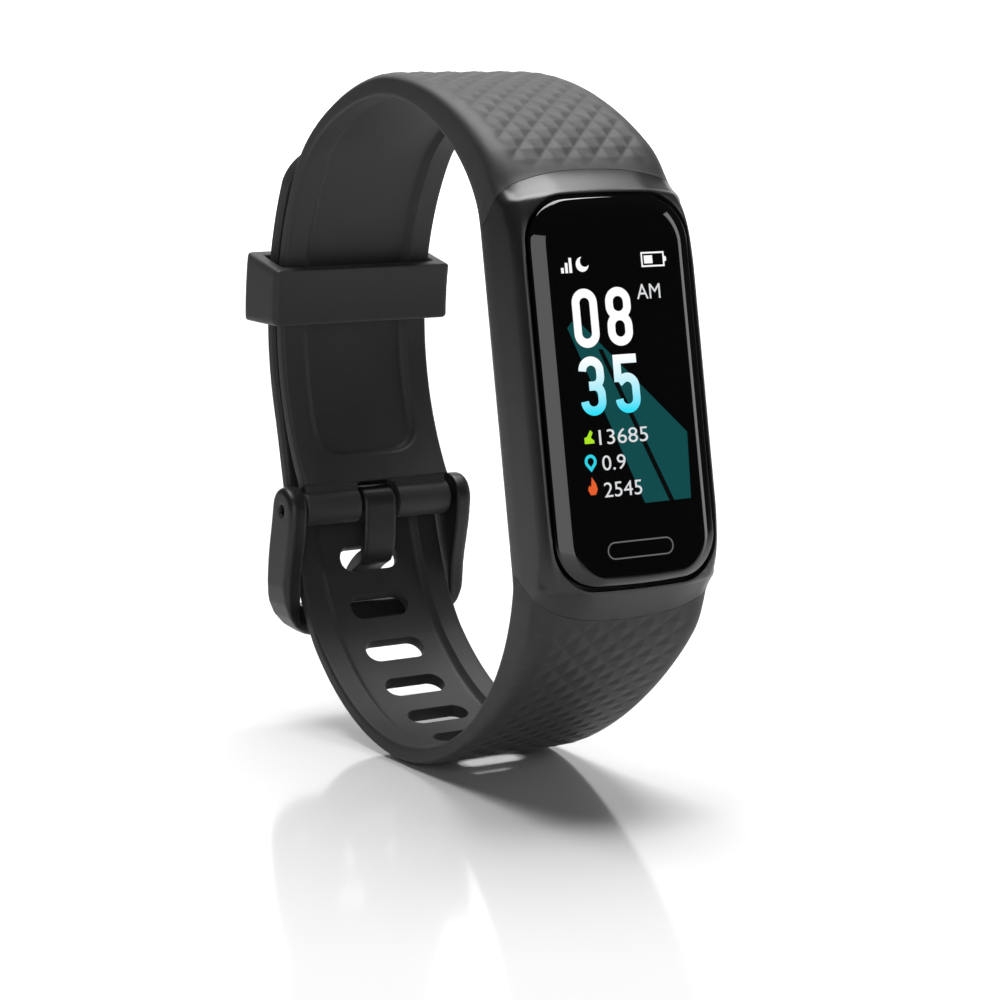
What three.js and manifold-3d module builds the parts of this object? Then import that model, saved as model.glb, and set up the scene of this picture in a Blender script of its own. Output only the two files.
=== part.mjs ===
// Fitness tracker band: a sealed tracker pod, two silicone straps, and a tang buckle with a sliding keeper.
// Millimetres. X runs across the strap, -Y is the way the display faces and +Z is up, so the buckled loop
// lies in the YZ plane. The origin is under the middle of the loop, level with its lowest point.
import * as THREE from "three";
import { mergeVertices } from "three/addons/utils/BufferGeometryUtils.js";
import Module from "manifold-3d";

const wasm = await Module();
wasm.setup();

// Driving dimensions
const GAP = 0.12; // between pieces that touch
const POD = { width: 19.8, length: 42, depth: 7.3, lean: 10.3, y: -27.4, z: 40.9 }; // y, z: its front rim
const SEAM_DROP = 2.4; // how far behind the rim the straps' outer faces meet the pod
const BACK_LENGTH = 34.4; // the pod is shorter on the wrist side
const STRAP = { half: 8.9, thick: 1.9, rootHalf: 9.8, top: 70.1, bevel: 0.45 };
const BEND = { y: -4.7, z: 42.7, inner: 30.3 }; // the round stretch behind the wrist, shared by both straps
const CHANNEL = { half: 5.9, depth: 0.45 }; // along the wrist side of both straps
const BAR = { y: 21.8, z: 23.4, radius: 0.75, half: 8.75 }; // the spring bar
const SLOT = { length: 7, width: 2.7, pitch: 5.75, count: 13, towardsPod: 6 };
const KEEPER = { height: 6.9, wall: 1.45, middle: 6.6 }; // middle: degrees above the bend's centre
const FRAME = { half: 11.2, inside: 9.3, boss: 2.5 };
const TONGUE = { width: 3.9, thick: 1.15 };
const KNUCKLE = 1.95; // radius of the strap's end, round the spring bar
const BORE_SLACK = 0.1; // how much wider a bore round the spring bar is than the bar
const FAR = 12; // half the length of a cutter that has to pass right through

// Helpers
const rad = THREE.MathUtils.degToRad;
const deg = THREE.MathUtils.radToDeg;

function solidOf(geometry) {
  const g = geometry.clone();
  g.deleteAttribute("normal");
  g.deleteAttribute("uv");
  const merged = mergeVertices(g, 1e-4);
  const triVerts = new Uint32Array(merged.index.array);
  const vertProperties = merged.attributes.position.array;
  return new wasm.Manifold(new wasm.Mesh({ numProp: 3, vertProperties, triVerts }));
}

function geometryOf(solid) {
  const { vertProperties, triVerts } = solid.getMesh();
  const g = new THREE.BufferGeometry();
  g.setAttribute("position", new THREE.BufferAttribute(vertProperties, 3));
  return g.setIndex(new THREE.BufferAttribute(triVerts, 1));
}

// An outline in the YZ plane, given a width across X, centred on x.
function across(shape, width, { x = 0, bevel = 0, segments = 10 } = {}) {
  const options = { depth: width - 2 * bevel, curveSegments: segments, bevelEnabled: bevel > 0 };
  Object.assign(options, { bevelSize: bevel, bevelThickness: bevel, bevelOffset: -bevel, bevelSegments: 2 });
  const g = new THREE.ExtrudeGeometry(shape, options).translate(0, 0, bevel - width / 2);
  const turned = new THREE.Matrix4().makeBasis(axis(0, 1, 0), axis(0, 0, 1), axis(1, 0, 0));
  return solidOf(g.applyMatrix4(turned).translate(x, 0, 0));
}

// An outline in the XY plane, raised along Z from low to high.
function raised(shape, low, high, segments = 6) {
  const options = { depth: high - low, curveSegments: segments, bevelEnabled: false };
  return solidOf(new THREE.ExtrudeGeometry(shape, options).translate(0, 0, low));
}

function axis(x, y, z) {
  return new THREE.Vector3(x, y, z);
}

function box(width, length, height, x = 0, y = 0, z = 0) {
  return solidOf(new THREE.BoxGeometry(width, length, height).translate(x, y, z));
}

// A cylinder along X.
function rod(radius, from, to, y = 0, z = 0, sides = 20) {
  const g = new THREE.CylinderGeometry(radius, radius, to - from, sides).rotateZ(Math.PI / 2);
  return solidOf(g.translate((from + to) / 2, y, z));
}

// A cylinder along Z.
function disc(radius, low, high, x = 0, y = 0, sides = 24) {
  const g = new THREE.CylinderGeometry(radius, radius, high - low, sides).rotateX(Math.PI / 2);
  return solidOf(g.translate(x, y, (low + high) / 2));
}

// A rounded rectangle whose two ends bow outwards.
function plate(halfWidth, halfLength, corner, bow = 0) {
  const [w, l, r] = [halfWidth, halfLength, corner];
  return new THREE.Shape()
    .moveTo(w, -l + r)
    .lineTo(w, l - r)
    .quadraticCurveTo(w, l, w - r, l)
    .quadraticCurveTo(0, l + 2 * bow, -w + r, l)
    .quadraticCurveTo(-w, l, -w, l - r)
    .lineTo(-w, -l + r)
    .quadraticCurveTo(-w, -l, -w + r, -l)
    .quadraticCurveTo(0, -l - 2 * bow, w - r, -l)
    .quadraticCurveTo(w, -l, w, -l + r);
}

function placed(solid, { x = 0, y = 0, z = 0, turn = 0 }) {
  return solid.rotate([turn, 0, 0]).translate([x, y, z]);
}

// Materials
function finish(color, roughness, metalness = 0) {
  return new THREE.MeshStandardMaterial({ color, roughness, metalness });
}
const FINISHES = {
  silicone: finish(0x3a3a3b, 0.62),
  shell: finish(0x2c2c2d, 0.42),
  glass: finish(0x050506, 0.06),
  foam: finish(0x101011, 0.9),
  panel: finish(0x08090b, 0.15),
  hard: finish(0x313132, 0.5),
  board: finish(0x0c3d24, 0.5),
  foil: finish(0xb9bcc0, 0.35, 0.6),
  steel: finish(0xc6c8ca, 0.28, 1),
  gold: finish(0xd8b25a, 0.25, 1),
  lens: finish(0x14161a, 0.08),
  emitter: finish(0xbfe8c4, 0.3),
  flex: finish(0x8a5a1c, 0.45),
};

const band = new THREE.Group();
const pod = new THREE.Group();
pod.position.set(0, POD.y, POD.z);
pod.rotation.x = rad(90 - POD.lean);
band.add(pod);

function add(group, name, solid, material) {
  const mesh = new THREE.Mesh(geometryOf(solid), FINISHES[material]);
  mesh.name = name;
  group.add(mesh);
}

// The pod, lying on its back: X across, Y along it, Z out of the display, 0 at the front rim
const GLASS = { half: 8.95, length: 17.95, corner: 3.6, bow: 0.45, proud: 0.95, sunk: 1.0 };
const GLASS_SEAT = { gap: 0.15, below: 0.3 };
const CAVITY = { half: 8.2, length: 15.4 };
const END_BOW = 1.05; // how much further the pod reaches in the middle than at its corners
const END_SLOPE = Math.atan2((POD.length - BACK_LENGTH) / 2, POD.depth - SEAM_DROP);
const END_MIDDLE = { y: (POD.length + BACK_LENGTH) / 4, z: -(SEAM_DROP + POD.depth) / 2 };
// The hard plug moulded into each strap's root, with a bead along it that the pod grips
const LINK = { width: 12, thick: 2, inPod: 1.9, inStrap: 3.2 };
const BEAD = { width: 9, long: 0.8, high: 0.5, fromTip: 0.5, rise: 0.2 };

// The solid of a strap link, or of its socket when grown; side is 1 at the top end and -1 at the bottom.
function linkSolid(side, grow = 0) {
  const length = LINK.inPod + LINK.inStrap;
  const grown = (size) => size + 2 * grow;
  const plug = box(grown(LINK.width), grown(length), grown(LINK.thick), 0, length / 2 - LINK.inPod, 0);
  const [beadY, beadZ] = [BEAD.fromTip - LINK.inPod, LINK.thick / 2 + grow + BEAD.rise];
  const bead = box(grown(BEAD.width), grown(BEAD.long), BEAD.high, 0, beadY, beadZ);
  const made = plug.add(bead).rotate([-deg(END_SLOPE), 0, 0]);
  const lined = made.translate([0, END_MIDDLE.y, END_MIDDLE.z]);
  return side > 0 ? lined : lined.mirror([0, 1, 0]);
}

// The pod's outside as one block, its sloping ends bowed; grow makes the room that the straps leave for it.
function podBlock(grow = 0) {
  const [half, back, deep] = [POD.length / 2 + grow, BACK_LENGTH / 2 + grow, -POD.depth - grow];
  const [rimEnd, pull, drop] = [2.2, 1.6, 0.4]; // the slope from the rim down to the seam
  const ends = new THREE.Shape().moveTo(-half + rimEnd, grow).lineTo(half - rimEnd, grow);
  ends.quadraticCurveTo(half - pull, grow - drop, half, -SEAM_DROP).lineTo(back, deep);
  ends.lineTo(-back, deep).lineTo(-half, -SEAM_DROP);
  ends.quadraticCurveTo(-half + pull, grow - drop, -half + rimEnd, grow);
  const side = across(ends, POD.width + 2, { segments: 8 });
  const w = POD.width / 2 + grow;
  const front = raised(plate(w, POD.length / 2 - END_BOW + grow, 5.4, END_BOW), -POD.depth - 2, 2, 8);
  const girth = new THREE.Shape().moveTo(-w + 0.5, grow).lineTo(-w, -1).lineTo(-w, -4.6);
  girth.lineTo(-w + 0.6, -6.7).lineTo(-w + 1.2, deep).lineTo(w - 1.2, deep);
  girth.lineTo(w - 0.6, -6.7).lineTo(w, -4.6).lineTo(w, -1);
  const ring = raised(girth.lineTo(w - 0.5, grow), -POD.length, POD.length).rotate([90, 0, 0]);
  return side.intersect(front).intersect(ring);
}

function housing() {
  const [seatHalf, seatLength] = [GLASS.half + GLASS_SEAT.gap, GLASS.length + GLASS_SEAT.gap];
  const seatShape = plate(seatHalf, seatLength, GLASS.corner, GLASS.bow);
  const seat = raised(seatShape, -GLASS.sunk - GLASS_SEAT.below, 1);
  const inside = raised(plate(CAVITY.half, CAVITY.length, 2), -POD.depth - 1, 0.5);
  const sockets = linkSolid(1, GAP).add(linkSolid(-1, GAP));
  return podBlock().subtract(seat).subtract(inside).subtract(sockets);
}
add(pod, "housing", housing(), "shell");

function frontGlass() {
  const flat = raised(plate(GLASS.half, GLASS.length, GLASS.corner, GLASS.bow), -GLASS.sunk, GLASS.proud);
  const dome = new THREE.Shape().moveTo(-9.2, -3).lineTo(9.2, -3).lineTo(9.2, -0.1);
  dome.bezierCurveTo(8.8, 0.75, 7.8, GLASS.proud, 6.6, GLASS.proud).lineTo(-6.6, GLASS.proud);
  dome.bezierCurveTo(-7.8, GLASS.proud, -8.8, 0.75, -9.2, -0.1);
  const long = raised(dome, -30, 30, 6).rotate([90, 0, 0]);
  const reach = GLASS.length + GLASS.bow + 0.3;
  const ends = new THREE.Shape().moveTo(-reach, -3).lineTo(reach, -3).lineTo(reach, -0.1);
  ends.bezierCurveTo(reach - 0.4, 0.75, reach - 1.4, GLASS.proud, reach - 2.6, GLASS.proud);
  ends.lineTo(-reach + 2.6, GLASS.proud);
  ends.bezierCurveTo(-reach + 1.4, GLASS.proud, -reach + 0.4, 0.75, -reach, -0.1);
  return flat.intersect(long).intersect(across(ends, 30, { segments: 6 }));
}
add(pod, "front_glass", frontGlass(), "glass");

const SEAL = { low: -1.22, high: -1.08 };
const sealRing = raised(plate(GLASS.half - 0.1, GLASS.length - 0.1, 3.5, GLASS.bow), SEAL.low, SEAL.high);
const sealHole = raised(plate(7.3, 16.2, 2.2), -2, 0);
add(pod, "glass_gasket", sealRing.subtract(sealHole), "foam");

const RIBBON = { width: 2.6, x: 5.4 };
add(pod, "display_panel", raised(plate(6.4, 12.9, 0.4), -2.45, -1.2).translate([0, 2.2, 0]), "panel");
add(pod, "touch_key_pad", raised(plate(4.6, 1.9, 1.7), -1.75, -1.2).translate([0, -13, 0]), "flex");

// A frame behind the display with two windows, and a third for the ribbon.
function displayBracket() {
  const rim = raised(plate(7.9, 15.1, 1.5), -3.1, -2.6);
  const sides = box(0.8, 24, 1.3, -7.4, 1, -2.0).add(box(0.8, 24, 1.3, 7.4, 1, -2.0));
  const windows = box(9, 9, 2, 0, 7.2, -2.85).add(box(9, 8, 2, 0, -5, -2.85));
  const ribbonWindow = box(3.2, 4.6, 1, RIBBON.x, -12.9, -2.85);
  return rim.add(sides).subtract(windows).subtract(ribbonWindow);
}
add(pod, "display_bracket", displayBracket(), "hard");

const BOARD = { low: -3.95, high: -3.25 };
const underBoard = BOARD.low - GAP;
const boardNotch = box(4, 3, 2, RIBBON.x, -14, -3.6);
add(pod, "main_board", raised(plate(7.9, 15.1, 1.2), BOARD.low, BOARD.high).subtract(boardNotch), "board");
add(pod, "shield_can", raised(plate(4.6, 3.7, 0.5), -5.2, underBoard).translate([-2.2, 10.6, 0]), "foil");
add(pod, "antenna", box(4, 1.5, 0.9, 5, 13.6, -4.55), "gold");
add(pod, "battery", raised(plate(6.0, 8.0, 1), -6.75, underBoard).translate([0.7, -1.8, 0]), "foil");
add(pod, "vibration_motor", disc(1.9, -6.4, underBoard, -4.6, -12.05), "steel");

// A folded ribbon from the display's lower edge, through the board's notch, to the board's wrist side.
function displayFlex() {
  const fold = new THREE.Shape().moveTo(-10.8, -2.55).lineTo(-14.75, -2.55).lineTo(-14.75, -4.35);
  fold.lineTo(-12.9, -4.35).lineTo(-12.9, -4.15).lineTo(-14.55, -4.15).lineTo(-14.55, -2.75);
  return across(fold.lineTo(-10.8, -2.75), RIBBON.width, { x: RIBBON.x });
}
add(pod, "display_flex", displayFlex(), "flex");

// Rear cover with its low crown towards the wrist, the sensor window and the two charging pads set into it.
const COVER = { half: 8.05, length: 15.25, crown: 1.55, lip: 1.1, crownHalf: 8, crownLength: 15.4 };
const CHARGE = { radius: 1.15, x: 2.6, y: -10.6 };
const WINDOW = { half: 4.2, length: 4.9, corner: 2, thick: 0.9, y: 3.4 };

// The crown seen from one side: flat in the middle, and rounded down to both edges.
function crownProfile(half, pull, flatFrom) {
  const [low, edge] = [-COVER.crown, -0.4];
  const profile = new THREE.Shape().moveTo(-half, -0.2).lineTo(-half, edge);
  profile.quadraticCurveTo(-half + pull, low, -half + flatFrom, low).lineTo(half - flatFrom, low);
  return profile.quadraticCurveTo(half - pull, low, half, edge).lineTo(half, -0.2);
}

function rearCover() {
  const lip = raised(plate(COVER.half, COVER.length, 1.9), -POD.depth, -POD.depth + COVER.lip);
  const skirt = raised(plate(8.5, 16.3, 3.2), -POD.depth - 0.55, -POD.depth - GAP);
  const join = raised(plate(7.9, 15.1, 1.9), -POD.depth - 0.4, -POD.depth + 0.4);
  const l = COVER.crownLength;
  const alongPod = raised(crownProfile(COVER.crownHalf, 0.6, 3), -l, l, 6).rotate([90, 0, 0]);
  const acrossPod = across(crownProfile(l, 1, 3.4), 30, { segments: 6 });
  const crowned = alongPod.intersect(acrossPod).translate([0, 0, -POD.depth]);
  const hollow = raised(plate(6.9, 14.0, 1.4), -POD.depth - 0.5, 0);
  const shell = lip.add(join).add(skirt).add(crowned).subtract(hollow);
  const windowShape = plate(WINDOW.half + GAP, WINDOW.length + GAP, WINDOW.corner);
  const window = raised(windowShape, -FAR, 0).translate([0, WINDOW.y, 0]);
  const padHoles = [-1, 1].map((s) => disc(CHARGE.radius + GAP, -FAR, 0, s * CHARGE.x, CHARGE.y));
  return padHoles.reduce((made, hole) => made.subtract(hole), shell.subtract(window));
}
add(pod, "rear_cover", rearCover(), "shell");

const back = -POD.depth - COVER.crown;
const sensorWindow = raised(plate(WINDOW.half, WINDOW.length, WINDOW.corner), back, back + WINDOW.thick);
add(pod, "sensor_window", sensorWindow.translate([0, WINDOW.y, 0]), "lens");
for (const [side, name] of [[-1, "charge_pad_left"], [1, "charge_pad_right"]]) {
  add(pod, name, disc(CHARGE.radius, back + 0.15, back + 1.5, side * CHARGE.x, CHARGE.y), "gold");
}
const sensorBoard = raised(plate(4.0, 4.6, 0.6), back + 1.55, back + 1.95);
add(pod, "sensor_board", sensorBoard.translate([0, WINDOW.y, 0]), "board");
for (const [y, name] of [[WINDOW.y + 3, "sensor_led_upper"], [WINDOW.y - 3, "sensor_led_lower"]]) {
  add(pod, name, box(1.5, 1.0, 0.42, 0, y, back + 1.22), "emitter");
}
add(pod, "photodiode", box(2.2, 2.0, 0.42, 0, WINDOW.y, back + 1.22), "lens");

const rearSealOuter = raised(plate(7.85, 15.05, 1.8), -6.08, -5.75);
add(pod, "rear_seal", rearSealOuter.subtract(raised(plate(7.35, 14.55, 1.4), -7, -5)), "foam");

add(pod, "upper_strap_link", linkSolid(1), "hard");
add(pod, "lower_strap_link", linkSolid(-1), "hard");

// The straps, drawn from the side: an outline's x is the band's Y, and its y is the band's Z
const LEAN = rad(POD.lean);
// A point of the pod's own frame, seen from the side.
function podPoint(along, out) {
  const y = POD.y + along * Math.sin(LEAN) - out * Math.cos(LEAN);
  return [y, POD.z + along * Math.cos(LEAN) + out * Math.sin(LEAN)];
}
function bendPoint(radius, degrees) {
  return [BEND.y + radius * Math.cos(rad(degrees)), BEND.z + radius * Math.sin(rad(degrees))];
}
const RADII = { upperIn: BEND.inner, upperOut: BEND.inner + STRAP.thick };
RADII.tailIn = RADII.upperOut + 0.3;
RADII.tailOut = RADII.tailIn + STRAP.thick;
const ROOT = { out: POD.length / 2 + GAP, in: BACK_LENGTH / 2 + GAP }; // the straps' root faces

const UPPER = { bendTop: 35, bendEnd: -33, channelEnd: -25, crownY: 2.6, crown: 2.4 };
// Dip is how far the wrist side is sunk: 0 at the strap's rims, more along the channel between them.
function upperOutline(dip) {
  const [top, y] = [STRAP.top, UPPER.crownY];
  const outline = new THREE.Shape().moveTo(...podPoint(ROOT.out - 2.3, -1.2));
  outline.lineTo(...podPoint(ROOT.out, -SEAM_DROP - 0.1));
  outline.bezierCurveTo(-15.6, 66.4, -6.9, top, y, top);
  outline.bezierCurveTo(8.4, top, 17.9, 66.1, ...bendPoint(RADII.upperOut, UPPER.bendTop));
  outline.absarc(BEND.y, BEND.z, RADII.upperOut, rad(UPPER.bendTop), rad(UPPER.bendEnd), true);
  outline.lineTo(BAR.y + 1.3, BAR.z).lineTo(BAR.y - 1.3, BAR.z);
  outline.lineTo(...bendPoint(RADII.upperIn, UPPER.bendEnd));
  outline.absarc(BEND.y, BEND.z, RADII.upperIn, rad(UPPER.bendEnd), rad(UPPER.channelEnd), false);
  outline.absarc(BEND.y, BEND.z, RADII.upperIn + dip, rad(UPPER.channelEnd), rad(UPPER.bendTop), false);
  const inside = top - UPPER.crown + dip;
  outline.bezierCurveTo(17.2, 64.4 + dip, 8.4, inside, y, inside);
  outline.bezierCurveTo(-6, inside, -14.9, 62.4 + dip, ...podPoint(ROOT.in + dip, -POD.depth - GAP));
  return outline.lineTo(...podPoint(ROOT.in - 2, -POD.depth + 1));
}

// A strap from its side outlines: thick rims, and a shallow channel along the wrist side.
function channelled(outlineAt) {
  const half = STRAP.half;
  const sunk = across(outlineAt(CHANNEL.depth), 2 * half, { bevel: STRAP.bevel, segments: 14 });
  const full = across(outlineAt(0), 2 * half, { bevel: STRAP.bevel, segments: 14 });
  const beside = [1, -1].map((s) => box(2 * half, 120, 120, s * (half + CHANNEL.half), 0, 30));
  return sunk.add(full.intersect(beside[0].add(beside[1])));
}

function upperStrap() {
  const body = channelled(upperOutline);
  const knuckle = rod(KNUCKLE, -STRAP.half, STRAP.half, BAR.y, BAR.z, 28);
  const barHole = rod(BAR.radius + BORE_SLACK, -FAR, FAR, BAR.y, BAR.z, 20);
  const notch = box(TONGUE.width + 0.9, 7, 5.2, 0, BAR.y, BAR.z - 0.1);
  return body.add(knuckle).subtract(barHole).subtract(notch);
}

// Straps widen to the pod's width at their roots; spread says how far from the pod that reaches.
function widened(solid, rootY, rootZ, spread = 24) {
  const growth = STRAP.rootHalf / STRAP.half - 1;
  const stretch = (v) => {
    const away = Math.hypot(v[1] - rootY, v[2] - rootZ) / spread;
    v[0] *= 1 + growth * Math.max(0, 1 - away) ** 1.4;
  };
  return solid.warp(stretch);
}

// The pocket that a strap link fills, carried from the pod's frame into the band's.
function socketInStrap(side) {
  return placed(linkSolid(side, GAP), { y: POD.y, z: POD.z, turn: 90 - POD.lean });
}
function podRoom() {
  return placed(podBlock(GAP), { y: POD.y, z: POD.z, turn: 90 - POD.lean });
}
const [upY, upZ] = podPoint(END_MIDDLE.y, END_MIDDLE.z);
const upperCut = widened(upperStrap(), upY, upZ).subtract(socketInStrap(1)).subtract(podRoom());
add(band, "upper_strap", upperCut, "silicone");

const LOWER = { bendStart: -16, tailTip: 35.8, corner: 5.2 };
const TURN_POINT = [19.2, 8.2]; // where the strap's outer face leaves the bottom curve for the buckle

function lowerOutline(dip) {
  const [start, tip] = [rad(LOWER.bendStart), rad(LOWER.tailTip)];
  const outline = new THREE.Shape().moveTo(...podPoint(2.3 - ROOT.out, -1.2));
  outline.lineTo(...podPoint(-ROOT.out, -SEAM_DROP - 0.1));
  outline.bezierCurveTo(-25.1, 12, -10.5, 0, 0.6, 0);
  outline.bezierCurveTo(7.6, 0, 14.3, 3.2, ...TURN_POINT);
  outline.bezierCurveTo(25.1, 15, 25.9, 24.6, ...bendPoint(RADII.tailOut, LOWER.bendStart));
  outline.absarc(BEND.y, BEND.z, RADII.tailOut, start, tip, false);
  outline.absarc(BEND.y, BEND.z, RADII.tailIn + dip, tip, start, true);
  const inner = [TURN_POINT[0] - 1.36 + 0.7 * dip, TURN_POINT[1] + 1.34 - 0.7 * dip];
  outline.bezierCurveTo(24.2 + dip, 25.1, 23.6 + dip, 16.1, ...inner);
  outline.bezierCurveTo(13.4 + 0.4 * dip, 5.1 - 0.9 * dip, 7.4, 2.0 - dip, 0.6, 2.0 - dip);
  outline.bezierCurveTo(-10.4, 2.1 - dip, -21.6, 10.6 - dip, ...podPoint(-ROOT.in - dip, -POD.depth - GAP));
  return outline.lineTo(...podPoint(2 - ROOT.in, -POD.depth + 1));
}

// Points of the lower strap's outer face, and the way along it, at a distance from a first point.
const outerFace = new THREE.CurvePath();
const bendStart = new THREE.Vector2(...bendPoint(RADII.tailOut, LOWER.bendStart));
const v2 = (y, z) => new THREE.Vector2(y, z);
outerFace.add(new THREE.CubicBezierCurve(v2(-10.5, 4.5), v2(-7, 1.8), v2(-3.5, 0), v2(0.6, 0)));
outerFace.add(new THREE.CubicBezierCurve(v2(0.6, 0), v2(7.6, 0), v2(14.3, 3.2), v2(...TURN_POINT)));
outerFace.add(new THREE.CubicBezierCurve(v2(...TURN_POINT), v2(25.1, 15), v2(25.9, 24.6), bendStart));
const { tailOut } = RADII;
const pastTip = 48; // the face is carried on past the tail's tip, in degrees round the bend
const round = new THREE.EllipseCurve(BEND.y, BEND.z, tailOut, tailOut, rad(LOWER.bendStart), rad(pastTip));
outerFace.add(round);

function slotCutter(distance) {
  const share = distance / outerFace.getLength();
  const at = outerFace.getPointAt(share);
  const along = outerFace.getTangentAt(share);
  const [half, r] = [SLOT.length / 2 - SLOT.width / 2, SLOT.width / 2];
  const stadium = new THREE.Shape().absarc(half, 0, r, -Math.PI / 2, Math.PI / 2, false);
  stadium.absarc(-half, 0, r, Math.PI / 2, (3 * Math.PI) / 2, false);
  return placed(raised(stadium, -3, 5, 7), { y: at.x, z: at.y, turn: deg(Math.atan2(along.y, along.x)) });
}

const TONGUE_SLOT = 42.55; // distance along the outer face to the slot that the tongue is in
// What is taken off to round the tail's two corners.
function tailTrim() {
  const [w, r] = [STRAP.half, LOWER.corner];
  const outside = new THREE.Shape().moveTo(w + 2, -r).lineTo(w, -r).quadraticCurveTo(w, 0, w - r, 0);
  outside.lineTo(r - w, 0).quadraticCurveTo(-w, 0, -w, -r).lineTo(-w - 2, -r);
  outside.lineTo(-w - 2, 4).lineTo(w + 2, 4);
  const [y, z] = bendPoint(RADII.tailIn, LOWER.tailTip - 0.5);
  return placed(raised(outside, -5, 5, 8), { y, z, turn: 90 + LOWER.tailTip });
}

function lowerStrap() {
  const [y, z] = podPoint(-END_MIDDLE.y, END_MIDDLE.z);
  const whole = widened(channelled(lowerOutline), y, z);
  let strap = whole.subtract(tailTrim()).subtract(socketInStrap(-1)).subtract(podRoom());
  for (let i = -SLOT.towardsPod; i < SLOT.count - SLOT.towardsPod; i += 1) {
    strap = strap.subtract(slotCutter(TONGUE_SLOT + i * SLOT.pitch));
  }
  return strap;
}
add(band, "lower_strap", lowerStrap(), "silicone");

// The keeper: a collar that follows the bend round both straps
function ringSector(inner, outer, from, to) {
  const shape = new THREE.Shape().absarc(BEND.y, BEND.z, outer, rad(from), rad(to), false);
  return shape.absarc(BEND.y, BEND.z, inner, rad(to), rad(from), true);
}

function keeper() {
  const spread = deg(KEEPER.height / RADII.tailIn) / 2;
  const [low, high] = [KEEPER.middle - spread, KEEPER.middle + spread];
  const room = { in: RADII.upperIn - 0.3, out: RADII.tailOut + 0.3, half: STRAP.half + 0.35 };
  const wall = ringSector(room.in - KEEPER.wall, room.out + KEEPER.wall, low, high);
  const outside = across(wall, 2 * (room.half + KEEPER.wall), { bevel: 0.5, segments: 4 });
  const gapInside = across(ringSector(room.in, room.out, low - 5, high + 5), 2 * room.half, { segments: 8 });
  return outside.subtract(gapInside);
}
add(band, "keeper", keeper(), "silicone");

// The buckle: frame and tongue turn on a spring bar in the strap's knuckle
const PIN = { radius: 0.5, from: 7.3, to: 10.5 };

function frameSide() {
  const { y, z } = BAR;
  const r = FRAME.boss;
  const tilt = rad(10);
  const side = new THREE.Shape().absarc(y, z, r, tilt, tilt + Math.PI, false);
  side.bezierCurveTo(y - 2.2, z - 4, y - 0.9, z - 6, y - 0.75, z - 9.2);
  side.bezierCurveTo(y - 0.7, z - 12.4, y + 0.1, z - 14.3, y + 1.4, z - 14.4);
  side.bezierCurveTo(y + 3.4, z - 14.3, y + 4.2, z - 11.5, y + 4.1, z - 8.2);
  side.bezierCurveTo(y + 3.9, z - 4.6, y + 3.0, z - 2.6, y + r * Math.cos(tilt), z + r * Math.sin(tilt));
  return side;
}

function frontOfFrame() {
  const [w, inside] = [FRAME.half, FRAME.inside];
  const [top, low, bar, r] = [4, -14.6, -11.1, 2]; // heights from the spring bar; r rounds the inner corners
  const u = new THREE.Shape().moveTo(w, top).lineTo(w, low + 6);
  u.bezierCurveTo(w, low + 2, w - 2.4, low, w - 6, low).lineTo(-w + 6, low);
  u.bezierCurveTo(-w + 2.4, low, -w, low + 2, -w, low + 6);
  u.lineTo(-w, top).lineTo(-inside, top).lineTo(-inside, bar + r);
  u.quadraticCurveTo(-inside, bar, -inside + r, bar).lineTo(inside - r, bar);
  return u.quadraticCurveTo(inside, bar, inside, bar + r).lineTo(inside, top).closePath();
}

// What the lower strap sweeps on its way through the frame, with room round it.
function strapRoom() {
  const [y, z] = TURN_POINT;
  const room = new THREE.Shape().moveTo(y - 8, z - 8).lineTo(y - 3.4, z - 4.1).lineTo(y + 0.32, z - 0.3);
  room.bezierCurveTo(25.5, 14.8, 26.3, 24.6, bendStart.x + 0.4, bendStart.y);
  return across(room.lineTo(10, bendStart.y).lineTo(10, 0), 2 * FRAME.inside, { segments: 12 });
}

function buckleFrame() {
  const side = across(frameSide(), 2 * FRAME.half, { bevel: 0.6, segments: 7 });
  const front = raised(frontOfFrame(), -FAR, FAR, 6).rotate([90, 0, 0]).translate([0, BAR.y, BAR.z]);
  const pinHoles = rod(PIN.radius + GAP, -FAR, FAR, BAR.y, BAR.z, 16);
  return side.intersect(front).subtract(strapRoom()).subtract(pinHoles);
}
add(band, "buckle_frame", buckleFrame(), "hard");

function tongueSide() {
  const { y, z } = BAR;
  const [r, t] = [1.9, TONGUE.thick];
  const side = new THREE.Shape().absarc(y, z, r, rad(-60), rad(180), false);
  side.lineTo(y - r, z - 1).bezierCurveTo(y - r, z - 4, y - r + 0.1, z - 5.2, y - 0.7, z - 6.6);
  side.bezierCurveTo(y + 1.4, z - 7.6, y + 2.4, z - 8.2, y + 3.3, z - 10.2);
  side.lineTo(y + 3.3 + t * 0.8, z - 9.5);
  side.bezierCurveTo(y + 3.3, z - 7.5, y + 1.6, z - 6.1, y + 0.1, z - 5.3);
  return side.bezierCurveTo(y - 0.8, z - 5.0, y - r + t, z - 4.4, y - r + t, z - 2.2);
}
const tongueHole = rod(BAR.radius + BORE_SLACK, -FAR, FAR, BAR.y, BAR.z, 20);
const tongue = across(tongueSide(), TONGUE.width, { bevel: 0.3, segments: 8 }).subtract(tongueHole);
add(band, "buckle_tongue", tongue, "hard");

const SPRING = { half: 6.6, radius: 0.33, wire: 0.1, turns: 14 };
const barrelBore = rod(PIN.radius + 0.06, -FAR, FAR, BAR.y, BAR.z, 14);
const barrel = rod(BAR.radius, -BAR.half, BAR.half, BAR.y, BAR.z, 20).subtract(barrelBore);
add(band, "spring_bar_barrel", barrel, "steel");
add(band, "spring_bar_pin_left", rod(PIN.radius, -PIN.to, -PIN.from, BAR.y, BAR.z, 14), "steel");
add(band, "spring_bar_pin_right", rod(PIN.radius, PIN.from, PIN.to, BAR.y, BAR.z, 14), "steel");

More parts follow.
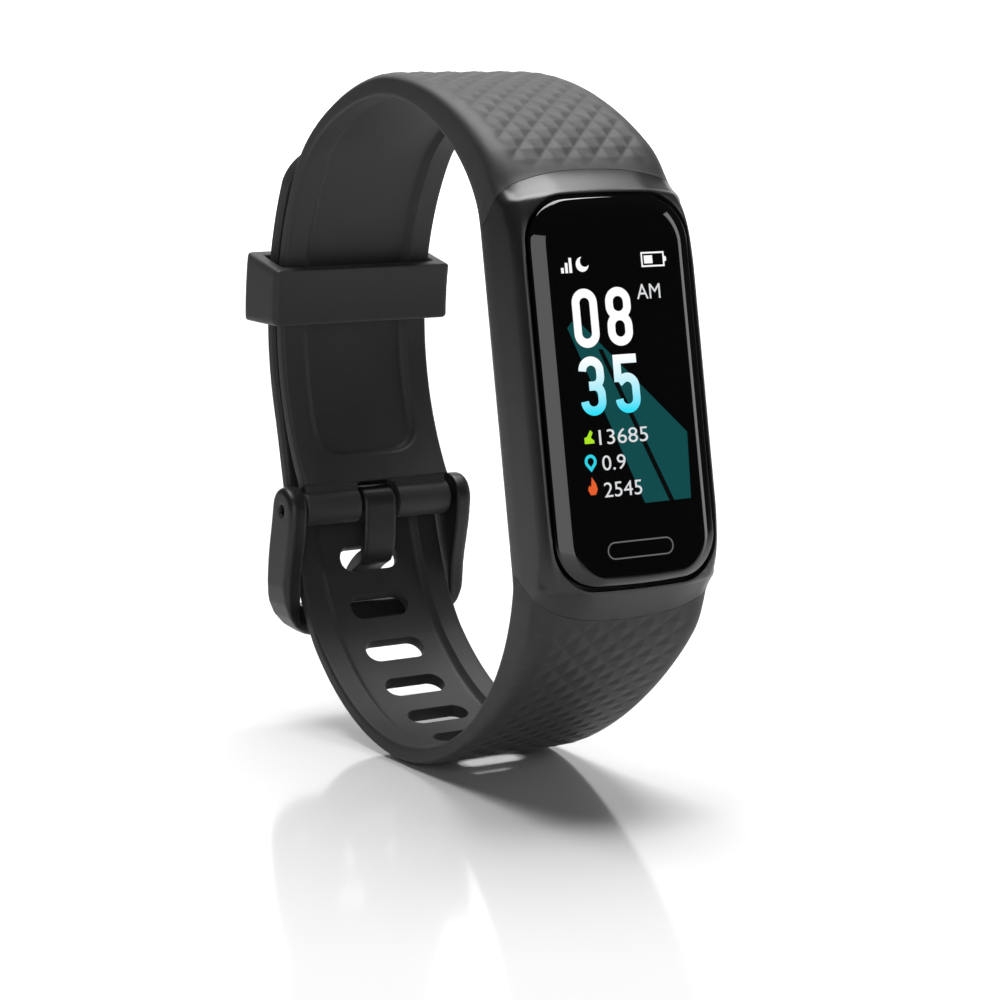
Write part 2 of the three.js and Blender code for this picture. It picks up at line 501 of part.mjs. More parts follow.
// The coil spring between the two pins.
class Helix extends THREE.Curve {
  getPoint(share, target = new THREE.Vector3()) {
    const angle = 2 * Math.PI * SPRING.turns * share;
    const x = SPRING.half * (2 * share - 1);
    return target.set(x, BAR.y + SPRING.radius * Math.cos(angle), BAR.z + SPRING.radius * Math.sin(angle));
  }
}
const wireSection = new THREE.Shape().absarc(0, 0, SPRING.wire, 0, 2 * Math.PI, false);
const coil = { steps: SPRING.turns * 8, bevelEnabled: false, curveSegments: 2, extrudePath: new Helix() };
add(band, "spring_bar_spring", solidOf(new THREE.ExtrudeGeometry(wireSection, coil)), "steel");

band.position.y = -0.06; // the middle of the footprint

export default band;
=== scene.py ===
# Fitness tracker band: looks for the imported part. Sizes in millimetres until they reach a mesh, then metres.
import math

import bpy
import numpy as np
from mathutils import Matrix, Vector


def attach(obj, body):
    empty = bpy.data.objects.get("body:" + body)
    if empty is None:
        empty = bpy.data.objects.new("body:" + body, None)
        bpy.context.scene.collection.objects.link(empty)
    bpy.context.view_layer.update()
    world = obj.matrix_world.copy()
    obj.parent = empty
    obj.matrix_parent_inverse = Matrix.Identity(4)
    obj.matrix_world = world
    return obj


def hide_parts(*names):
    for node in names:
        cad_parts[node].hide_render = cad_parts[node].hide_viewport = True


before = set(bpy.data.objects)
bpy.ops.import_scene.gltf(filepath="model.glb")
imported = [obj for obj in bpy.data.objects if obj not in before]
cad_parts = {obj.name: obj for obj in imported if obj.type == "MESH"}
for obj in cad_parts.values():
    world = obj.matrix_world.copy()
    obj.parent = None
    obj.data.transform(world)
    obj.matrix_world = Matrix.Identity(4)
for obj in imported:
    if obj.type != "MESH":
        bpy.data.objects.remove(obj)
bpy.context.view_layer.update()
print("frame loaded:", len(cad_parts), "nodes")

mm = 0.001
scene = bpy.context.scene


def selectOnly(piece):
    bpy.ops.object.select_all(action="DESELECT")
    piece.select_set(True)
    bpy.context.view_layer.objects.active = piece


def meshPiece(name, points, faces):
    mesh = bpy.data.meshes.new(name)
    mesh.from_pydata([tuple(c * mm for c in p) for p in points], [], faces)
    piece = bpy.data.objects.new(name, mesh)
    scene.collection.objects.link(piece)
    selectOnly(piece)
    return piece


# rings of equal count become a closed skin; the first and last ring are filled
def loft(name, rings):
    count = len(rings[0])
    points = [p for ring in rings for p in ring]
    faces = []
    for k in range(len(rings) - 1):
        a, b = k * count, (k + 1) * count
        for i in range(count):
            j = (i + 1) % count
            faces.append((a + i, a + j, b + j, b + i))
    faces.append(tuple(range(count - 1, -1, -1)))
    faces.append(tuple((len(rings) - 1) * count + i for i in range(count)))
    piece = meshPiece(name, points, faces)
    outwards(piece)
    return piece


def outwards(piece):
    selectOnly(piece)
    bpy.ops.object.mode_set(mode="EDIT")
    bpy.ops.mesh.select_all(action="SELECT")
    bpy.ops.mesh.normals_make_consistent(inside=False)
    bpy.ops.object.mode_set(mode="OBJECT")


def smoothShade(piece, degrees):
    selectOnly(piece)
    bpy.ops.object.shade_smooth_by_angle(angle=math.radians(degrees))


def useModifier(piece, kind, **values):
    selectOnly(piece)
    modifier = piece.modifiers.new(kind.title(), kind)
    for key, value in values.items():
        setattr(modifier, key, value)
    bpy.ops.object.modifier_apply(modifier=modifier.name)


def cutWith(piece, cutter, operation="DIFFERENCE"):
    useModifier(piece, "BOOLEAN", object=cutter, operation=operation, solver="EXACT")
    bpy.data.objects.remove(cutter)
    if len(piece.data.polygons) < 50:
        raise RuntimeError(piece.name + ": the cut left nothing")


def dress(piece, material, body, slotName, *nodes):
    piece.data.materials.clear()
    piece.data.materials.append(material)
    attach(piece, body)
    if nodes:
        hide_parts(*nodes)


def smoothStep(low, high, value):
    t = min(1.0, max(0.0, (value - low) / (high - low)))
    return t * t * (3 - 2 * t)


view = {"azimuth": 31.0, "down": 9.26, "place": (-0.1438, -0.24456, 0.0729), "lens": 100.8}
az, down = math.radians(view["azimuth"]), math.radians(view["down"])
looking = Vector((math.sin(az) * math.cos(down), math.cos(az) * math.cos(down), -math.sin(down)))
bpy.ops.object.camera_add(location=view["place"], rotation=looking.to_track_quat("-Z", "Y").to_euler())
camera = bpy.context.object
camera.data.lens = view["lens"]
camera.data.sensor_width = 36
camera.data.clip_start = 0.01
scene.camera = camera


def newGroup(name, inputs, outputs):
    group = bpy.data.node_groups.new(name, "ShaderNodeTree")
    for label, value in inputs:
        socket = group.interface.new_socket(name=label, in_out="INPUT", socket_type="NodeSocketFloat")
        socket.default_value = value
    for label in outputs:
        group.interface.new_socket(name=label, in_out="OUTPUT", socket_type="NodeSocketFloat")
    start, end = group.nodes.new("NodeGroupInput"), group.nodes.new("NodeGroupOutput")
    return group, start, end


# fine moulded texture with slow cloudy patches: Height feeds a bump, Cloud tints and changes the gloss
def makeGrain():
    sizes = [("Grain Scale", 9000.0), ("Cloud Scale", 220.0), ("Contrast", 0.5)]
    group, start, end = newGroup("mouldGrain", sizes, ["Height", "Cloud"])
    nodes, links = group.nodes, group.links
    place = nodes.new("ShaderNodeTexCoord")
    fine = nodes.new("ShaderNodeTexNoise")
    fine.inputs["Detail"].default_value = 3
    slow = nodes.new("ShaderNodeTexNoise")
    slow.inputs["Detail"].default_value = 4
    slow.inputs["Roughness"].default_value = 0.6
    for noise, label in ((fine, "Grain Scale"), (slow, "Cloud Scale")):
        links.new(place.outputs["Object"], noise.inputs["Vector"])
        links.new(start.outputs[label], noise.inputs["Scale"])
    spread = nodes.new("ShaderNodeMapRange")
    spread.inputs["From Min"].default_value = 0.3
    spread.inputs["From Max"].default_value = 0.7
    links.new(slow.outputs["Fac"], spread.inputs["Value"])
    lower = nodes.new("ShaderNodeMath")
    lower.operation = "MULTIPLY"
    links.new(spread.outputs["Result"], lower.inputs[0])
    links.new(start.outputs["Contrast"], lower.inputs[1])
    links.new(fine.outputs["Fac"], end.inputs["Height"])
    links.new(lower.outputs["Value"], end.inputs["Cloud"])
    return group


# specks of dust, 0 to 1
def makeSpecks():
    group, start, end = newGroup("dustSpecks", [("Scale", 900.0), ("Amount", 0.2)], ["Mask"])
    nodes, links = group.nodes, group.links
    place = nodes.new("ShaderNodeTexCoord")
    dots = nodes.new("ShaderNodeTexVoronoi")
    links.new(place.outputs["Object"], dots.inputs["Vector"])
    links.new(start.outputs["Scale"], dots.inputs["Scale"])
    near = nodes.new("ShaderNodeMapRange")
    near.inputs["From Min"].default_value = 0.06
    near.inputs["From Max"].default_value = 0.02
    links.new(dots.outputs["Distance"], near.inputs["Value"])
    pick = nodes.new("ShaderNodeSeparateColor")
    links.new(dots.outputs["Color"], pick.inputs["Color"])
    some = nodes.new("ShaderNodeMath")
    some.operation = "LESS_THAN"
    links.new(pick.outputs["Red"], some.inputs[0])
    links.new(start.outputs["Amount"], some.inputs[1])
    both = nodes.new("ShaderNodeMath")
    both.operation = "MULTIPLY"
    links.new(near.outputs["Result"], both.inputs[0])
    links.new(some.outputs["Value"], both.inputs[1])
    links.new(both.outputs["Value"], end.inputs["Mask"])
    return group


grainGroup = makeGrain()
speckGroup = makeSpecks()


def makeFinish(name, colour, tint, rough, glossSpread, bump, metallic=0.0, coat=0.0, coatRough=0.1,
               specular=0.5, grainScale=9000.0, dust=0.0, dustScale=900.0, sheen=0.0, rubbed=0.0):
    material = bpy.data.materials.new(name)
    material.use_nodes = True
    nodes, links = material.node_tree.nodes, material.node_tree.links
    shader = nodes["Principled BSDF"]
    shader.inputs["Metallic"].default_value = metallic
    shader.inputs["Coat Weight"].default_value = coat
    shader.inputs["Coat Roughness"].default_value = coatRough
    shader.inputs["Specular IOR Level"].default_value = specular
    shader.inputs["Sheen Weight"].default_value = sheen
    shader.inputs["Sheen Roughness"].default_value = 0.5
    grain = nodes.new("ShaderNodeGroup")
    grain.node_tree = grainGroup
    grain.inputs["Grain Scale"].default_value = grainScale
    colourMix = nodes.new("ShaderNodeMix")
    colourMix.data_type = "RGBA"
    colourMix.inputs["A"].default_value = (*colour, 1)
    colourMix.inputs["B"].default_value = (*tint, 1)
    links.new(grain.outputs["Cloud"], colourMix.inputs["Factor"])
    result = colourMix.outputs["Result"]
    if rubbed:  # raised edges are rubbed a little lighter
        shape = nodes.new("ShaderNodeNewGeometry")
        edge = nodes.new("ShaderNodeMapRange")
        edge.inputs["From Min"].default_value = 0.52
        edge.inputs["From Max"].default_value = 0.62
        edge.inputs["To Max"].default_value = rubbed
        links.new(shape.outputs["Pointiness"], edge.inputs["Value"])
        lighter = nodes.new("ShaderNodeMix")
        lighter.data_type = "RGBA"
        lighter.inputs["B"].default_value = tuple(min(1, 2.2 * c) for c in tint) + (1,)
        links.new(edge.outputs["Result"], lighter.inputs["Factor"])
        links.new(result, lighter.inputs["A"])
        result = lighter.outputs["Result"]
    if dust:
        specks = nodes.new("ShaderNodeGroup")
        specks.node_tree = speckGroup
        specks.inputs["Scale"].default_value = dustScale
        specks.inputs["Amount"].default_value = dust
        dusty = nodes.new("ShaderNodeMix")
        dusty.data_type = "RGBA"
        dusty.inputs["B"].default_value = tuple(min(1, c + 0.05) for c in tint) + (1,)
        links.new(specks.outputs["Mask"], dusty.inputs["Factor"])
        links.new(result, dusty.inputs["A"])
        result = dusty.outputs["Result"]
    links.new(result, shader.inputs["Base Color"])
    gloss = nodes.new("ShaderNodeMapRange")
    gloss.inputs["To Min"].default_value = rough
    gloss.inputs["To Max"].default_value = rough + glossSpread
    links.new(grain.outputs["Cloud"], gloss.inputs["Value"])
    links.new(gloss.outputs["Result"], shader.inputs["Roughness"])
    bumps = nodes.new("ShaderNodeBump")
    bumps.inputs["Strength"].default_value = bump
    bumps.inputs["Distance"].default_value = 0.00002
    links.new(grain.outputs["Height"], bumps.inputs["Height"])
    links.new(bumps.outputs["Normal"], shader.inputs["Normal"])
    return material


silicone = makeFinish("charcoalSilicone", (0.024, 0.024, 0.025), (0.03, 0.03, 0.031), 0.5, 0.12, 0.35,
                      specular=0.45, dust=0.05, dustScale=500.0, sheen=0.06, rubbed=0.15)
caseSatin = makeFinish("caseSatin", (0.013, 0.013, 0.014), (0.016, 0.016, 0.017), 0.3, 0.07, 0.2,
                       specular=0.5, coat=0.15, coatRough=0.25, grainScale=12000.0, rubbed=0.1)
buckleSatin = makeFinish("buckleSatin", (0.009, 0.009, 0.0095), (0.012, 0.012, 0.0125), 0.38, 0.1, 0.25,
                         grainScale=10000.0, rubbed=0.2)
blackGlass = makeFinish("blackGlass", (0.0012, 0.0012, 0.0014), (0.0018, 0.0018, 0.002), 0.03, 0.015, 0.0,
                        coat=0.3, coatRough=0.02)
lensGloss = makeFinish("sensorLens", (0.006, 0.007, 0.008), (0.012, 0.013, 0.014), 0.06, 0.04, 0.0, coat=0.4)
padGold = makeFinish("padGold", (0.78, 0.56, 0.24), (0.84, 0.63, 0.3), 0.24, 0.15, 0.15, metallic=1.0)
turnedSteel = makeFinish("turnedSteel", (0.52, 0.53, 0.54), (0.62, 0.63, 0.64), 0.25, 0.15, 0.2, metallic=1.0)
boardMask = makeFinish("boardMask", (0.01, 0.08, 0.035), (0.016, 0.11, 0.05), 0.3, 0.15, 0.3, coat=0.2)
foilPouch = makeFinish("foilPouch", (0.5, 0.51, 0.53), (0.6, 0.61, 0.63), 0.3, 0.2, 0.5, metallic=0.8)
sealFoam = makeFinish("sealFoam", (0.01, 0.01, 0.011), (0.018, 0.018, 0.019), 0.8, 0.1, 0.6,
                      grainScale=6000.0)
innerNylon = makeFinish("innerNylon", (0.05, 0.05, 0.052), (0.065, 0.065, 0.067), 0.5, 0.15, 0.4)
panelStack = makeFinish("panelStack", (0.004, 0.004, 0.006), (0.01, 0.01, 0.013), 0.12, 0.05, 0.05, coat=0.3)
ribbonAmber = makeFinish("ribbonAmber", (0.36, 0.17, 0.04), (0.46, 0.24, 0.07), 0.3, 0.1, 0.1, coat=0.2)
clearEpoxy = makeFinish("clearEpoxy", (0.45, 0.72, 0.5), (0.55, 0.82, 0.6), 0.15, 0.1, 0.05)
print("finishes made")

# the straps and the pod share these; the pod leans back, and the straps bend round one centre behind
pod = {"y": -27.46, "z": 40.9, "lean": math.radians(10.3), "back": -7.42, "end": 21.08, "drop": -2.42}
bend = {"y": -4.76, "z": 42.7}
# side of a raised square, its height, and how far its peak is off centre
facet = {"size": 2.17, "rise": 0.17, "peak": 0.06}
channel = {"half": 6.3, "depth": 0.6, "corner": 3.2}
root = {"wide": 9.9, "length": 24, "side": 2.0, "drop": 1.7}  # straps widen to this at the pod


def podSide(along, out):
    s, c = math.sin(pod["lean"]), math.cos(pod["lean"])
    return (pod["y"] + along * s - out * c, pod["z"] + along * c + out * s)


def bendSide(radius, degrees):
    a = math.radians(degrees)
    return (bend["y"] + radius * math.cos(a), bend["z"] + radius * math.sin(a))


def curve(a, b, c, d, count=90):
    t = np.linspace(0, 1, count)[:, None]
    a, b, c, d = (np.array(p, float) for p in (a, b, c, d))
    return (1 - t) ** 3 * a + 3 * (1 - t) ** 2 * t * b + 3 * (1 - t) * t * t * c + t**3 * d


def line(a, b, count=20):
    t = np.linspace(0, 1, count)[:, None]
    return (1 - t) * np.array(a, float) + t * np.array(b, float)


def arc(radius, start, end, count=120):
    return np.array([bendSide(radius, a) for a in np.linspace(start, end, count)])


# a run is the outer and inner side curves of a strap, with distances measured from the pod's seam
def makeRun(outer, inner, seamIndex):
    o, i = np.vstack(outer), np.vstack(inner)
    along = np.concatenate([[0], np.cumsum(np.hypot(*np.diff(o, axis=0).T))])
    return {"outer": o, "inner": i, "along": along - along[seamIndex]}


def sidePair(run, v):
    y1, z1 = (np.interp(v, run["along"], run["outer"][:, k]) for k in (0, 1))
    y0, z0 = (np.interp(v, run["along"], run["inner"][:, k]) for k in (0, 1))
    return np.array([y1, z1]), np.array([y0, z0])


# height of the raised squares, which stand on their corners and have their peaks towards the pod
def facetHeight(u, v, look):
    fade = smoothStep(look["start"], look["full"], v) * (1 - smoothStep(look["end"] - 6, look["end"], v))
    fade *= 1 - smoothStep(6.2, 8.8, abs(u))
    if fade == 0:
        return 0.0
    grow = 1 + 0.004 * min(v, 25)
    diagonal = math.sqrt(2) * facet["size"]
    across, far = u / diagonal, (v - look["centre"]) * grow / diagonal
    p, q = far + across, far - across
    p, q = p - math.floor(p) - 0.5, q - math.floor(q) - 0.5
    peak = -facet["peak"]
    height = min(min((t + 0.5) / (peak + 0.5), (0.5 - t) / (0.5 - peak)) for t in (p, q))
    return facet["rise"] * fade * (height - 0.35)


# round the glass the pod falls away from a rounded outline, so the cap is lower towards its two corners
rim = {"half": 9.1, "length": 18.42, "corner": 4.7, "bow": 0.45, "slope": 0.5, "most": 1.0}


def outsideRim(u, along):
    c = rim["corner"]
    bow = rim["bow"] * (1 - (u / rim["half"]) ** 2)
    dx, dy = max(abs(u) - rim["half"] + c, 0), max(along - bow - rim["length"] + c, 0)
    return max(0.0, math.hypot(dx, dy) - c)


def crownDrop(u, v, run):
    (y, z), _ = sidePair(run, v)
    along = abs((y - pod["y"]) * math.sin(pod["lean"]) + (z - pod["z"]) * math.cos(pod["lean"]))
    more = max(0.0, outsideRim(u, along) - outsideRim(0, along))
    fade = (1 - smoothStep(-2.5, 4.0, v)) * smoothStep(-9.0, -3.0, v)
    return min(rim["most"], rim["slope"] * more) * fade


def channelDip(u, v, look):
    along = max(look["channelStart"] - v, v - look["channelEnd"])
    r = channel["corner"]
    dx, dy = max(abs(u) - channel["half"] + r, 0), max(along + r, 0)
    return channel["depth"] * (1 - smoothStep(-0.6, 0.15, math.hypot(dx, dy) - r))


def strapRing(run, v, look, fine=96):
    near = max(0.0, 1 - max(v, 0) / root["length"]) ** 1.4
    half = 8.9 + (root["wide"] - 8.9) * near
    if look.get("tail") and look["tail"] - v < look["corner"]:  # rounded corners of the loose end
        share = 1 - (look["tail"] - v) / look["corner"]
        half -= look["corner"] * (1 - math.sqrt(max(0.0, 1 - share**2)))
    o, i = sidePair(run, v)
    thick = float(np.hypot(*(o - i)))
    n = (o - i) / thick
    beside = 1 - smoothStep(-11.0, -1.0, v)  # beside the glass the front edge is rounded less
    shoulder = 1.7 + (root["side"] - 1.7) * near - 1.3 * beside
    drop = min(0.36 * thick, 0.7 + (root["drop"] - 0.7) * near)
    edge = min(0.42, thick * 0.25) + 0.9 * near**2
    columns = []
    for k in range(13):  # right shoulder, down to the side
        turn = math.radians(90 * k / 12)
        columns.append((half - shoulder + shoulder * math.sin(turn), thick - drop * (1 - math.cos(turn))))
    left = [(-u, w) for u, w in reversed(columns)]
    top = [((half - shoulder) * (2 * k / fine - 1), thick) for k in range(1, fine)]
    side = [(half, edge + (thick - drop - edge) * share) for share in (0.66, 0.33)]
    for k in range(5):
        turn = math.radians(90 * k / 4)
        side.append((half - 0.8 * edge * (1 - math.cos(turn)), edge * (1 - math.sin(turn))))
    flat = half - 0.8 * edge
    under = [(flat * (1 - 2 * k / 64), channelDip(flat * (1 - 2 * k / 64), v, look)) for k in range(1, 64)]
    ring = [(u, w + facetHeight(u, v, look)) for u, w in left + top + columns]
    if v < 7:
        ring = [(u, w - crownDrop(u, v, run) * smoothStep(edge, thick, w)) for u, w in ring]
    ring += side + under + [(-u, w) for u, w in reversed(side)]
    return [(u, float(i[0] + n[0] * w), float(i[1] + n[1] * w)) for u, w in ring]


def stations(*stops):
    made = []
    for start, end, step in stops:
        count = max(1, round((end - start) / step))
        made += [start + (end - start) * k / count for k in range(count)]
    return made + [stops[-1][1]]


# the slope from the pod's rim to the seam, seen from the side; up is 1 for the upper end and -1 for the lower
def capRun(up):
    back = pod["back"]

    def slope(stops, count):
        return curve(*(podSide(up * along, out) for along, out in stops), count)

    outer = [
        line(podSide(up * 8, 0), podSide(up * 18.3, 0), 30),
        slope(((18.3, 0), (18.62, 0), (18.8, -0.16), (19.02, -0.4)), 14),
        slope(((19.02, -0.4), (19.7, -1.12), (20.4, -1.9), (pod["end"], pod["drop"])), 20),
    ]
    inner = [line(podSide(up * a, back), podSide(up * b, back), count)
             for a, b, count in ((8, 15.6, 30), (15.6, 16.1, 14), (16.1, 17.3, 20))]
    return outer, inner, 30 + 14 + 19


outer, inner, seamAt = capRun(1)
outer += [
    curve(podSide(pod["end"], pod["drop"]), (-15.66, 66.4), (-6.96, 70.06), (2.54, 70.06)),
    curve((2.54, 70.06), (8.34, 70.06), (17.84, 66.1), bendSide(32.2, 35)),
    arc(32.2, 35, -33),
]
inner += [
    curve(podSide(17.3, pod["back"]), (-14.96, 62.4), (-6.06, 67.7), (2.54, 67.7)),
    curve((2.54, 67.7), (8.34, 67.7), (17.14, 64.4), bendSide(30.3, 35)),
    arc(30.3, 35, -33),
]
upperRun = makeRun(outer, inner, seamAt)
upperEnd = upperRun["along"][-1]
upperLook = {
    "start": -0.2, "full": 3.0, "end": 46.0, "centre": 9.25,
    "channelStart": 9.0, "channelEnd": upperEnd - 3.2,
}

turnPoint = (19.14, 8.2)
outer, inner, seamAt = capRun(-1)
outer += [
    curve(podSide(-pod["end"], pod["drop"]), (-25.16, 12), (-10.56, 0.04), (0.54, 0.04)),
    curve((0.54, 0.04), (7.54, 0.04), (14.24, 3.2), turnPoint),
    curve(turnPoint, (25.04, 15), (25.84, 24.6), bendSide(34.4, -16)),
    arc(34.4, -16, 35.8),
]
turnInside = (turnPoint[0] - 1.36, turnPoint[1] + 1.34)
inner += [
    curve(podSide(-17.3, pod["back"]), (-21.66, 10.6), (-10.46, 2.1), (0.54, 2.0)),
    curve((0.54, 2.0), (7.34, 2.0), (13.34, 5.1), turnInside),
    curve(turnInside, (23.54, 16.1), (24.14, 25.1), bendSide(32.5, -16)),
    arc(32.5, -16, 35.8),
]
lowerRun = makeRun(outer, inner, seamAt)
lowerEnd = lowerRun["along"][-1]
lowerLook = {
    "start": -0.5, "full": 1.5, "end": 33.0, "centre": 9.4, "tail": lowerEnd, "corner": 5.2,
    "channelStart": 12.0, "channelEnd": lowerEnd - 5,
}
plainLook = {"start": 90, "full": 91, "end": 99, "centre": 0, "channelStart": 90, "channelEnd": -90}

# the seam's surface: bowed ends that lean in towards the wrist; grow opens a hairline gap
seam = {
    1: {"reach": 21.08, "bow": 1.55}, -1: {"reach": 21.6, "bow": 2.0},
    "span": 9.4, "power": 2.3, "lean": 0.78,
}


def seamBlock(grow):
    rings = []
    for out in (3.0, 0.0, pod["drop"], -4.0, -5.6, -9.5):
        ring = []
        for up in (1, -1):
            for k in range(41):
                x = up * (11.5 - 23 * k / 40)
                reach = seam[up]["reach"] + grow - seam[up]["bow"] * (abs(x) / seam["span"]) ** seam["power"]
                reach -= seam["lean"] * max(0.0, pod["drop"] - out)
                y, z = podSide(up * reach, out)
                ring.append((x, y, z))
        rings.append(ring)
    return loft("seamBlock", rings)


rings = [strapRing(upperRun, v, upperLook) for v in
         stations((-6.0, 0.0, 0.3), (0.0, 46, 0.16), (46, upperEnd - 7, 0.6), (upperEnd - 7, upperEnd, 0.25))]
upperStrap = loft("upperStrap", rings)
cutWith(upperStrap, seamBlock(0.05))

# knuckle at the strap's end, with the notch for the tongue and the bore for the spring bar
knuckle = {"radius": 1.95, "half": 8.9, "notch": 4.8}
barY, barZ = 21.74, 23.4


def crosswise(name, radius, half, y, z, rounding=0.0, sides=48):
    bpy.ops.object.select_all(action="DESELECT")
    bpy.ops.mesh.primitive_cylinder_add(
        vertices=sides, radius=radius * mm, depth=2 * half * mm,
        location=(0, y * mm, z * mm), rotation=(0, math.pi / 2, 0)
    )
    piece = bpy.context.object
    piece.name = name
    bpy.ops.object.transform_apply(location=True, rotation=True, scale=True)
    if rounding:
        useModifier(piece, "BEVEL", width=rounding * mm, segments=4,
                    limit_method="ANGLE", angle_limit=math.radians(60))
    return piece


def block(name, x0, x1, y0, y1, z0, z1):
    bpy.ops.object.select_all(action="DESELECT")
    middle = ((x0 + x1) / 2 * mm, (y0 + y1) / 2 * mm, (z0 + z1) / 2 * mm)
    sides = ((x1 - x0) * mm, (y1 - y0) * mm, (z1 - z0) * mm)
    bpy.ops.mesh.primitive_cube_add(size=1, location=middle, scale=sides)
    piece = bpy.context.object
    piece.name = name
    bpy.ops.object.transform_apply(location=True, rotation=True, scale=True)
    return piece


# neck from the strap's end to the middle of the knuckle
endOuter, endInner = sidePair(upperRun, upperEnd - 1.5)
neckOutline = (tuple(endInner), (barY - 1.4, barZ), (barY + 1.4, barZ), (endOuter[0] - 0.3, endOuter[1]))
neckPoints = [(x, y, z) for x in (-knuckle["half"] + 0.25, knuckle["half"] - 0.25) for y, z in neckOutline]
neckFaces = [(0, 1, 2, 3), (7, 6, 5, 4), (0, 4, 5, 1), (1, 5, 6, 2), (2, 6, 7, 3), (3, 7, 4, 0)]
neck = meshPiece("neck", neckPoints, neckFaces)
outwards(neck)
useModifier(neck, "BEVEL", width=0.3 * mm, segments=3)
cutWith(upperStrap, crosswise("knuckle", knuckle["radius"], knuckle["half"], barY, barZ, 0.4, 64), "UNION")
cutWith(upperStrap, neck, "UNION")
notchHalf = knuckle["notch"] / 2
notch = block("notch", -notchHalf, notchHalf, barY - 3.5, barY + 3.5, barZ - 2.7, barZ + 2.5)
useModifier(notch, "BEVEL", width=0.5 * mm, segments=4)
cutWith(upperStrap, notch)
cutWith(upperStrap, crosswise("bore", 0.85, 12, barY, barZ, 0, 32))
smoothShade(upperStrap, 34)
dress(upperStrap, silicone, "band", "silicone_charcoal", "upper_strap")
print("upper strap done:", len(upperStrap.data.polygons), "faces")

lowerStations = stations(
    (-6.0, -0.6, 0.3), (-0.6, 33, 0.16), (33, lowerEnd - 6, 0.6), (lowerEnd - 6, lowerEnd - 0.02, 0.2)
)
rings = [strapRing(lowerRun, v, lowerLook) for v in lowerStations]
lowerStrap = loft("lowerStrap", rings)
cutWith(lowerStrap, seamBlock(0.05))

# tongue is how far along the outer face the slot that holds the tongue is
slot = {"length": 7.0, "width": 2.7, "pitch": 5.75, "first": -6, "count": 13, "tongue": 42.55}
firstCurve = slice(seamAt + 1, seamAt + 91)
startOfRow = np.interp(0.54, lowerRun["outer"][firstCurve, 0], lowerRun["along"][firstCurve])
rowStart = curve((-10.56, 4.5), (-7.06, 1.8), (-3.56, 0.04), (0.54, 0.04))
rowLength = float(np.hypot(*np.diff(rowStart, axis=0).T).sum())


def slotCutter(v):
    o, i = sidePair(lowerRun, v)
    ahead, _ = sidePair(lowerRun, v + 0.4)
    n = (o - i) / np.hypot(*(o - i))
    along = np.array([n[1], -n[0]])
    if np.dot(along, ahead - o) < 0:
        along = -along
    half, r = slot["length"] / 2 - slot["width"] / 2, slot["width"] / 2
    rings = []
    thick = float(np.hypot(*(o - i)))
    # height above the inner face, and how much wider the slot is there
    levels = [(-1.5, 1.6), (0.1, 0.25), (0.45, 0.06), (0.75, 0)]
    levels += [(thick - 0.5, 0), (thick - 0.2, 0.06), (thick, 0.22), (thick + 1.5, 1.6)]
    for w, grow in levels:
        ring = []
        for k in range(32):
            a = 2 * math.pi * (k + 0.5) / 32
            x = (r + grow) * math.cos(a) + (half if math.cos(a) > 0 else -half)
            s = (r + grow) * math.sin(a)
            y, z = i + n * w + along * s
            ring.append((x, float(y), float(z)))
        rings.append(ring)
    return loft("slotCutter", rings)


cutters = []
for k in range(slot["count"]):
    distance = slot["tongue"] + (k + slot["first"]) * slot["pitch"]
    cutters.append(slotCutter(startOfRow - rowLength + distance))
bpy.ops.object.select_all(action="DESELECT")
for cutter in cutters:
    cutter.select_set(True)
bpy.context.view_layer.objects.active = cutters[0]
bpy.ops.object.join()
cutWith(lowerStrap, bpy.context.object)
smoothShade(lowerStrap, 34)
dress(lowerStrap, silicone, "band", "silicone_charcoal", "lower_strap")
print("lower strap done:", len(lowerStrap.data.polygons), "faces")


def podPoint(x, along, out):
    y, z = podSide(along, out)
    return (x, y, z)


# rounded rectangle with bowed ends, as evenly matched points
def planRing(half, length, corner, bow, lower=0):
    def corners(cx, cy, start):
        turns = [math.radians(start + a) for a in np.linspace(0, 90, 13)]
        return [(cx + corner * math.cos(t), cy + corner * math.sin(t)) for t in turns]
    ring = corners(half - corner, length - corner, 0)
    ring += [((half - corner) * (1 - 2 * k / 16), length) for k in range(1, 16)]
    ring += corners(-half + corner, length - corner, 90)
    ring += [(-half, (length - corner) * (1 - 2 * k / 16)) for k in range(1, 16)]
    ring += corners(-half + corner, -length + corner, 180)
    ring += [((half - corner) * (2 * k / 16 - 1), -length) for k in range(1, 16)]
    ring += corners(half - corner, -length + corner, 270)
    ring += [(half, (length - corner) * (2 * k / 16 - 1)) for k in range(1, 16)]
    placed = []
    for x, y in ring:
        y += math.copysign(bow * (1 - (x / half) ** 2), y) * smoothStep(0.6, 0.95, abs(y) / length)
        placed.append((x, y - lower * smoothStep(0.3, 0.9, -y / length)))
    return placed


def podRing(half, length, corner, bow, out, lower=0):
    return [podPoint(x, y, out) for x, y in planRing(half, length, corner, bow, lower)]


upperStations = stations((-12.0, -4.0, 0.5), (-4.0, 1.5, 0.16))
rings = [strapRing(upperRun, v, plainLook, 40) for v in reversed(upperStations)]
rings += [strapRing(lowerRun, v, plainLook, 40) for v in stations((-12.0, -4.0, 0.5), (-4.0, 2.2, 0.16))]
podShell = loft("podShell", rings)
cutWith(podShell, seamBlock(0.0), "INTERSECT")
# half width, half length, corner, bow of the ends, height above the rim
seatLevels = [
    (9.06, 18.1, 4.1, 0.45, -1.0), (9.08, 18.12, 4.12, 0.45, -0.5), (9.1, 18.14, 4.15, 0.45, -0.16),
    (9.16, 18.2, 4.2, 0.45, -0.02), (9.26, 18.3, 4.3, 0.45, 0.1), (9.4, 18.44, 4.4, 0.45, 2.0),
]
cutWith(podShell, loft("seatCutter", [podRing(*level) for level in seatLevels]))
smoothShade(podShell, 32)
dress(podShell, caseSatin, "band", "case_dark", "housing")

